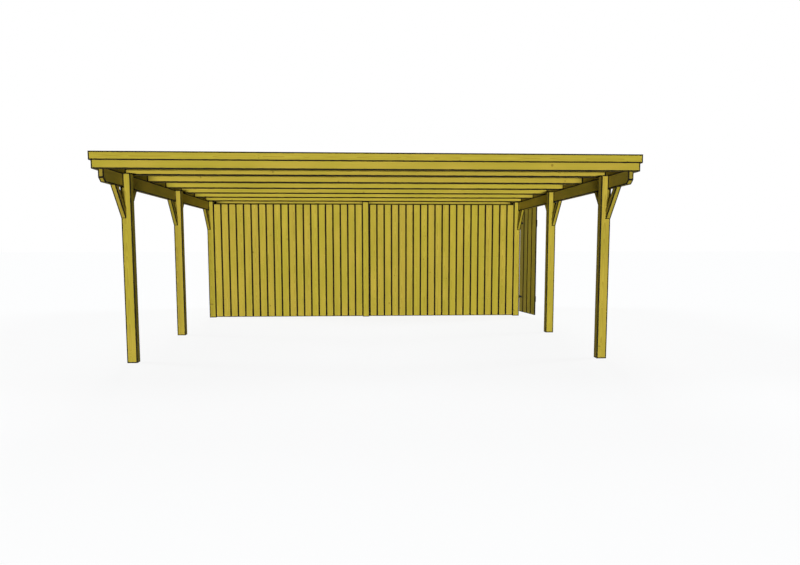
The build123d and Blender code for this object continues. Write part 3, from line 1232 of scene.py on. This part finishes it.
# %% Screw the straps to the leaf
strap_screws = bmesh.new()
pan_round = 12
holes_from_end = (15 * mm, 55 * mm, 95 * mm)
strap_points = [shut @ vert.co for vert in nodes["door_straps"].data.vertices]
strap_end = max(point.y for point in strap_points)
strap_face = max(point.x for point in strap_points if point.y > strap_end - mm)
out_of_leaf = opened.to_3x3() @ Vector((1, 0, 0))
for low, high in timbers_in("door_straps"):
    level = (low.z + high.z) / 2
    for from_end in holes_from_end:
        spot = opened @ Vector((strap_face, strap_end - from_end, level))
        turn(strap_screws, spot, out_of_leaf, pan_head, pan_round)
make_piece(strap_screws, "strap_screws", black_coat, "door")
print("strap screws sit", round(strap_face, 4), "m out when shut")

# %% Screw the pintles to the stud
pintle_screws = bmesh.new()
plate_thickness = 4 * mm
holes_from_side = (11 * mm, 36 * mm)
hole_inset = 12 * mm
pintle_points = [vert.co for vert in nodes["door_pintles"].data.vertices]
for low, high in timbers_in("door_pintles"):
    level_with = [point for point in pintle_points if low.z - mm < point.z < high.z + mm]
    plate_low, plate_high = extent([point for point in level_with if point.x - low.x < mm])
    for from_side in holes_from_side:
        for z in (plate_low.z + hole_inset, plate_high.z - hole_inset):
            spot = Vector((low.x + plate_thickness, low.y + from_side, z))
            turn(pintle_screws, spot, Vector((1, 0, 0)), pan_head, pan_round)
make_piece(pintle_screws, "pintle_screws", black_coat)
print("pintle plates are", round((plate_high.z - plate_low.z) / mm), "mm high")

# %% [markdown]
# ## The roof's laps and screws
#
# Where two sheets meet, one rib covers the other, and its free edge shows as a thin step beside the
# rib. The ribs are found in the solid itself, from the high points along its front end. Each lap is
# a strip as thick as the steel, bent over every fifth rib and run down the fall.

# %% Find the ribs
sheet_mesh = nodes["roof_sheets"].data
sheet_low, sheet_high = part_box("roof_sheets")
front_end = [vert.co for vert in sheet_mesh.vertices if vert.co.y - sheet_low.y < mm]
back_end = [vert.co for vert in sheet_mesh.vertices if sheet_high.y - vert.co.y < mm]
crown_z = max(point.z for point in front_end)
valley_z = min(point.z for point in front_end)
sheet_drop = crown_z - max(point.z for point in back_end)
sheet_steel = 0.75 * mm
same_height = 0.1 * mm


def places_at(height):
    """Where along the front end the sheet's section has a corner at a height."""
    return sorted({round(point.x, 5) for point in front_end if abs(point.z - height) < same_height})


crowns = places_at(crown_z)
rib_middles = [(left + right) / 2 for left, right in zip(crowns[::2], crowns[1::2])]
half_crown = (crowns[1] - crowns[0]) / 2
rib_pitch = rib_middles[1] - rib_middles[0]
half_foot = min(abs(x - rib_middles[0]) for x in places_at(valley_z + sheet_steel))
print(len(rib_middles), f"ribs every {rib_pitch:.3f} m, crown {2 * half_crown:.3f}, foot {2 * half_foot:.3f}")

# %% Lay the laps
ribs_in_sheet = 5
lap_edge = 12 * mm
lap_spread = 0.5 * mm
lap_lift = 0.05 * mm


def lap_strip(shape, middle):
    """A bent strip over one rib, from front to back."""
    low_z = valley_z + sheet_steel
    line = [
        (-half_foot - lap_edge, low_z),
        (-half_foot, low_z),
        (-half_crown, crown_z),
        (half_crown, crown_z),
        (half_foot, low_z),
    ]
    raised = [(x + math.copysign(lap_spread, x), z + sheet_steel) for x, z in line]
    outline = [(x, z + lap_lift) for x, z in line] + raised[::-1]
    ends = []
    for y, drop in ((sheet_low.y, 0.0), (sheet_high.y, sheet_drop)):
        ends.append([shape.verts.new((middle + x, y, z - drop)) for x, z in outline])
    join_rings(shape, ends, closed=False)
    last = len(outline) - 1
    for number in range(len(line) - 1):
        for end in ends:
            shape.faces.new((end[number], end[number + 1], end[last - number - 1], end[last - number]))


laps = bmesh.new()
lap_ribs = rib_middles[ribs_in_sheet - 1 :: ribs_in_sheet]
for middle in lap_ribs:
    lap_strip(laps, middle)
bmesh.ops.recalc_face_normals(laps, faces=laps.faces)
make_piece(laps, "roof_laps", roof_sheet)
print(len(lap_ribs), "laps")

# %% Drive the roof screws
hexagon_sides = 6
roof_screws = bmesh.new()
fall_slope = sheet_drop / (sheet_high.y - sheet_low.y)
up_from_roof = Vector((0, fall_slope, 1))
valleys = [(left + right) / 2 for left, right in zip(rib_middles[::2], rib_middles[1::2])]
for node in rafter_nodes:
    y = middle_y(node)
    z = valley_z + sheet_steel - fall_slope * (y - sheet_low.y)
    for x in valleys:
        turn(roof_screws, Vector((x, y, z)), up_from_roof, washer, large_round)
        turn(roof_screws, Vector((x, y, z)), up_from_roof, hexagon, hexagon_sides)
make_piece(roof_screws, "roof_screws", roof_sheet)
print(len(rafter_nodes) * len(valleys), "roof screws")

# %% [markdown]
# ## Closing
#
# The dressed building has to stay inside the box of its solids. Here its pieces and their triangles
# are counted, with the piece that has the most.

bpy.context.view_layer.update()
triangles = {}
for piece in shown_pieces():
    triangles[piece.name] = sum(len(face.vertices) - 2 for face in piece.data.polygons)
largest = max(triangles, key=triangles.get)
print(len(triangles), "pieces,", sum(triangles.values()), "triangles,", triangles[largest], "in", largest)
